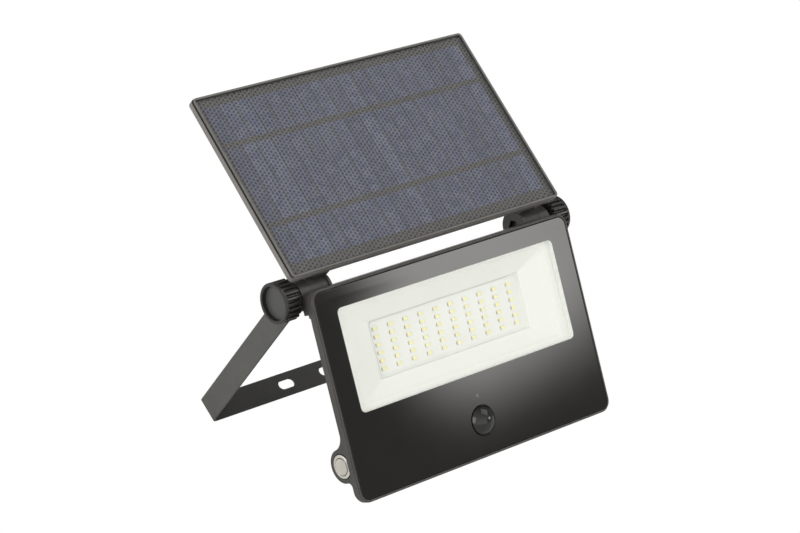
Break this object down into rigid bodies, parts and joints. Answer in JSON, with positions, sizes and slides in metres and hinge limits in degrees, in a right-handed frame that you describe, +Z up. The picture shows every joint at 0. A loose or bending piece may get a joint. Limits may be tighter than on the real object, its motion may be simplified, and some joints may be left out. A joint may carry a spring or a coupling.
{
  "type": "solar flood light",
  "caption": "Solar flood light: glass-fronted LED lamp head with motion sensor and push button, tilting solar panel on the same hinge, and a U-bracket with hand knobs.",
  "frame": {"origin": "centre of the bounding box in plan, on the surface the light stands on", "axes": "+X along the hinge to the right seen from the front, +Y to the back, +Z up; the lamp and panel face the front (-Y)"},
  "size_m": [0.2362, 0.164, 0.2118],
  "materials": {
    "bracket_steel": "fine-textured powder coat",
    "steel": "satin",
    "knob_plastic": "satin moulded",
    "knob_cap_plastic": "satin",
    "brass": "turned",
    "housing_plastic": "fine satin",
    "front_glass": "polished, black print on the back around a clear window",
    "rubber": "matt",
    "reflector_white": "smooth white",
    "board_white": "white solder mask",
    "led_phosphor": "yellow phosphor in a white case",
    "aluminium": "mill",
    "board_green": "green solder mask",
    "component_black": "moulded",
    "battery_wrap": "shrink sleeve",
    "nickel": "plated strip",
    "lens_black": "glossy",
    "light_pipe": "clear to milky",
    "button_steel": "brushed",
    "gland_nylon": "satin",
    "panel_plastic": "fine satin",
    "panel_glass": "patterned face",
    "solar_cell": "blue-grey crystalline",
    "cell_backing": "brown-grey"
  },
  "bodies": {
    "bracket": {"mounting_bracket": "bracket_steel", "knob_washers": "steel"},
    "lamp": {"rear_housing": "housing_plastic", "front_frame": "housing_plastic", "front_glass": "front_glass", "glass_gasket": "rubber", "reflector": "reflector_white", "led_board": "board_white", "led_chips": "led_phosphor", "heat_spreader": "aluminium", "control_board": "board_green", "board_parts": "component_black", "board_screws": "steel", "battery_cells": "battery_wrap", "battery_holder": "housing_plastic", "battery_tabs": "nickel", "pir_sensor": "steel", "pir_lens": "lens_black", "sensor_board": "board_green", "indicator_pipe": "light_pipe", "button_body": "button_steel", "button_oring": "rubber", "button_nut": "steel", "rear_cover": "housing_plastic", "cover_gasket": "rubber", "cover_screws": "steel", "vent_plug": "rubber", "lamp_gland": "gland_nylon"},
    "panel": {"panel_shell": "panel_plastic", "panel_frame": "panel_plastic", "panel_glass": "panel_glass", "solar_cells": "solar_cell", "bus_ribbons": "cell_backing", "panel_backsheet": "cell_backing", "panel_screws": "steel", "hinge_bolts": "steel", "friction_washers": "panel_plastic", "panel_gland": "gland_nylon"},
    "button": {"button_cap": "button_steel"},
    "left_knob": {"left_knob_body": "knob_plastic", "left_knob_cap": "knob_cap_plastic", "left_knob_insert": "brass"},
    "right_knob": {"right_knob_body": "knob_plastic", "right_knob_cap": "knob_cap_plastic", "right_knob_insert": "brass"}
  },
  "joints": [
    {"name": "lamp_tilt", "type": "hinge", "parent": "bracket", "child": "lamp", "pos_m": [0, -0.01095, 0.11106], "axis": [1, 0, 0], "range_deg": [-45, 50]},
    {"name": "panel_tilt", "type": "hinge", "parent": "lamp", "child": "panel", "pos_m": [0, -0.01095, 0.11106], "axis": [1, 0, 0], "range_deg": [-45, 30]},
    {"name": "left_knob_turn", "type": "hinge", "parent": "bracket", "child": "left_knob", "pos_m": [0, -0.01095, 0.11106], "axis": [-1, 0, 0], "range_deg": [0, 360]},
    {"name": "right_knob_turn", "type": "hinge", "parent": "bracket", "child": "right_knob", "pos_m": [0, -0.01095, 0.11106], "axis": [1, 0, 0], "range_deg": [0, 360]},
    {"name": "power_button_press", "type": "slide", "parent": "lamp", "child": "button", "axis": [1, 0, 0], "range_m": [0, 0.001], "stiffness_N_per_m": 2500, "springref_m": -0.0004}
  ]
}
